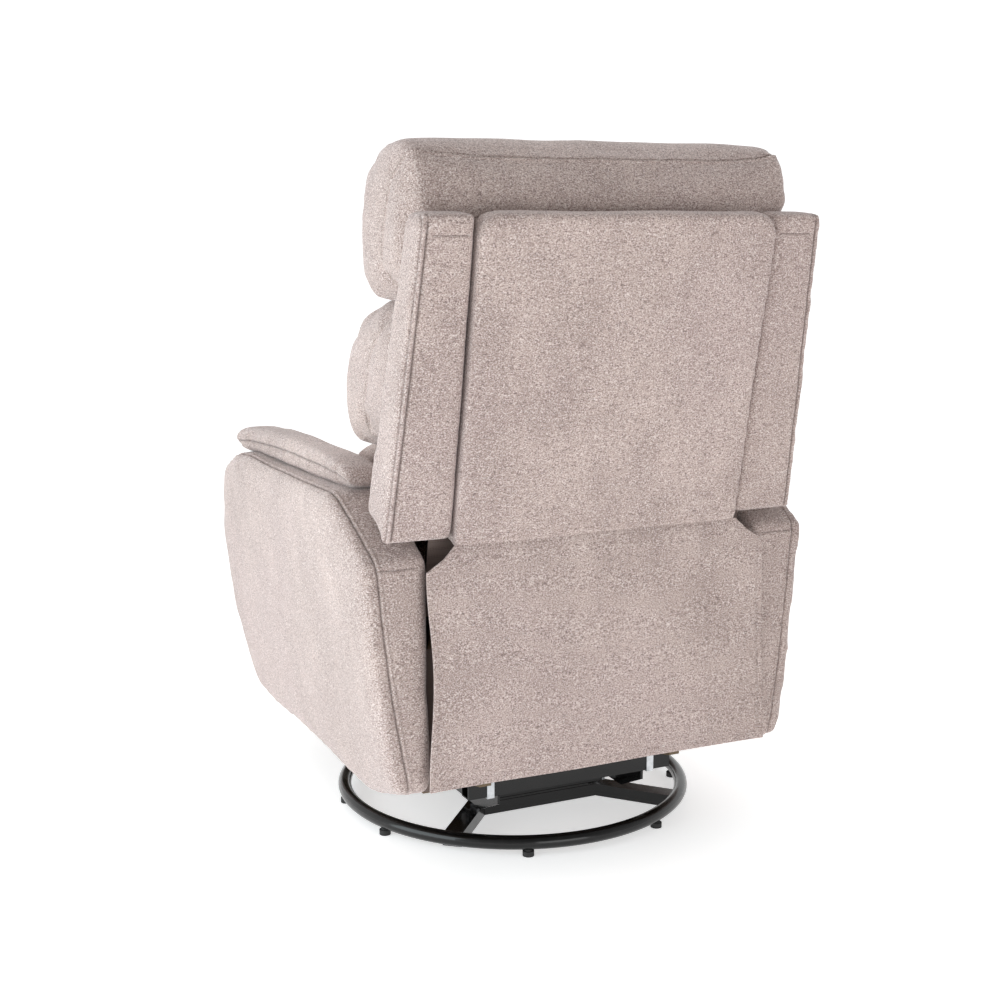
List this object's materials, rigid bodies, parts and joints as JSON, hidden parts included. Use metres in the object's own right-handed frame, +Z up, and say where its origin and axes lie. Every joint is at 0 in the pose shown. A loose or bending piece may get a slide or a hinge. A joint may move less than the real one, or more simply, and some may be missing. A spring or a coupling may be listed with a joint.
{
  "type": "glider nursery chair",
  "caption": "Upholstered swivel glider chair on a round floor ring, with flared arms, stacked back pillows, a reclining back and a fold-out footrest.",
  "frame": {"origin": "on the floor, under the centre of the chair's overall box; the swivel axis stands 70 mm behind it", "axes": "+Z up, the chair faces -Y, +X is the sitter's left"},
  "size_m": [0.748, 0.9249, 1.062],
  "materials": {
    "plush_fabric": "heathered short-pile plush, pinkish taupe",
    "webbing": "woven elastic webbing",
    "black_steel": "gloss black powder coat",
    "zinc": "zinc plated",
    "ball_steel": "polished bearing steel",
    "spring_wire": "drawn spring wire",
    "timber": "plain birch ply",
    "rubber": "moulded black rubber"
  },
  "bodies": {
    "base": {"ring_left": "black_steel", "ring_right": "black_steel", "ring_feet": "rubber", "spider_front": "black_steel", "spider_rear": "black_steel", "base_plate": "black_steel", "lower_race": "zinc", "bearing_balls": "ball_steel", "king_bolt": "zinc", "king_nut": "zinc"},
    "turntable": {"upper_race": "zinc", "turntable_plate": "black_steel", "glide_channels": "black_steel", "glide_posts": "zinc", "upper_pivot_bolts": "zinc"},
    "glide_front": {"glide_links_front": "zinc"},
    "glide_rear": {"glide_links_rear": "zinc"},
    "carriage": {"lower_pivot_bolts": "zinc", "glide_rails": "black_steel", "cross_tubes": "black_steel", "tube_clips": "zinc", "seat_beams": "timber", "seat_sides": "timber", "stretcher_front": "timber", "stretcher_rear": "timber", "spring_rails": "timber", "seat_springs": "spring_wire", "seat_cushion": "plush_fabric", "mechanism_plates": "black_steel", "plate_pins": "zinc", "recline_pins": "zinc", "torsion_springs": "spring_wire", "arm_frame_left": "timber", "arm_frame_right": "timber", "arm_left": "plush_fabric", "arm_right": "plush_fabric", "arm_pad_left": "plush_fabric", "arm_pad_right": "plush_fabric", "rear_flap": "plush_fabric"},
    "back": {"recline_arms": "black_steel", "back_frame": "timber", "back_webbing": "webbing", "back_panel": "plush_fabric", "wing_left": "plush_fabric", "wing_right": "plush_fabric", "head_pillow": "plush_fabric", "mid_pillow": "plush_fabric", "lumbar_pillow": "plush_fabric"},
    "crank": {"torque_tube": "black_steel", "crank_links": "black_steel", "crank_pins": "zinc", "release_lever": "black_steel", "lever_grip": "timber"},
    "guide": {"guide_links": "black_steel", "guide_pins": "zinc"},
    "upper_reach": {"upper_reach_links": "black_steel"},
    "lower_reach": {"lower_reach_links": "black_steel"},
    "footrest": {"footrest_brackets": "black_steel", "footrest_board": "timber", "footrest_pad": "plush_fabric"}
  },
  "joints": [
    {"name": "swivel", "type": "hinge", "parent": "base", "child": "turntable", "pos_m": [0, 0.07, 0.04], "axis": [0, 0, 1], "continuous": true},
    {"name": "glide", "type": "hinge", "parent": "turntable", "child": "glide_rear", "pos_m": [0, 0.167, 0.197], "axis": [1, 0, 0], "range_deg": [-18, 18]},
    {"name": "glide_front_swing", "type": "hinge", "parent": "turntable", "child": "glide_front", "pos_m": [0, -0.027, 0.197], "axis": [1, 0, 0], "range_deg": [-18, 18]},
    {"name": "carriage_level", "type": "hinge", "parent": "glide_rear", "child": "carriage", "pos_m": [0, 0.167, 0.052], "axis": [1, 0, 0], "range_deg": [-18, 18]},
    {"name": "recline", "type": "hinge", "parent": "carriage", "child": "back", "pos_m": [0, 0.265, 0.315], "axis": [-1, 0, 0], "range_deg": [0, 38], "deforming": ["rear_flap"]},
    {"name": "footrest_crank", "type": "hinge", "parent": "carriage", "child": "crank", "pos_m": [0, -0.24, 0.318], "axis": [-1, 0, 0], "range_deg": [0, 100]},
    {"name": "footrest_guide", "type": "hinge", "parent": "carriage", "child": "guide", "pos_m": [0, -0.1874, 0.30192], "axis": [-1, 0, 0], "range_deg": [0, 100]},
    {"name": "footrest_upper_reach", "type": "hinge", "parent": "crank", "child": "upper_reach", "pos_m": [0, -0.14469, 0.17123], "axis": [-1, 0, 0], "range_deg": [-100, 0]},
    {"name": "footrest_lower_reach", "type": "hinge", "parent": "crank", "child": "lower_reach", "pos_m": [0, -0.11473, 0.12511], "axis": [-1, 0, 0], "range_deg": [-100, 0]},
    {"name": "footrest_turn", "type": "hinge", "parent": "upper_reach", "child": "footrest", "pos_m": [0, -0.37038, 0.24023], "axis": [-1, 0, 0], "range_deg": [0, 100]}
  ],
  "couplings": [
    {"joint": "glide_front_swing", "follows": "glide", "ratio": 1},
    {"joint": "carriage_level", "follows": "glide", "ratio": -1},
    {"joint": "footrest_guide", "follows": "footrest_crank", "ratio": 1},
    {"joint": "footrest_upper_reach", "follows": "footrest_crank", "ratio": -1},
    {"joint": "footrest_lower_reach", "follows": "footrest_crank", "ratio": -1},
    {"joint": "footrest_turn", "follows": "footrest_crank", "ratio": 1}
  ]
}
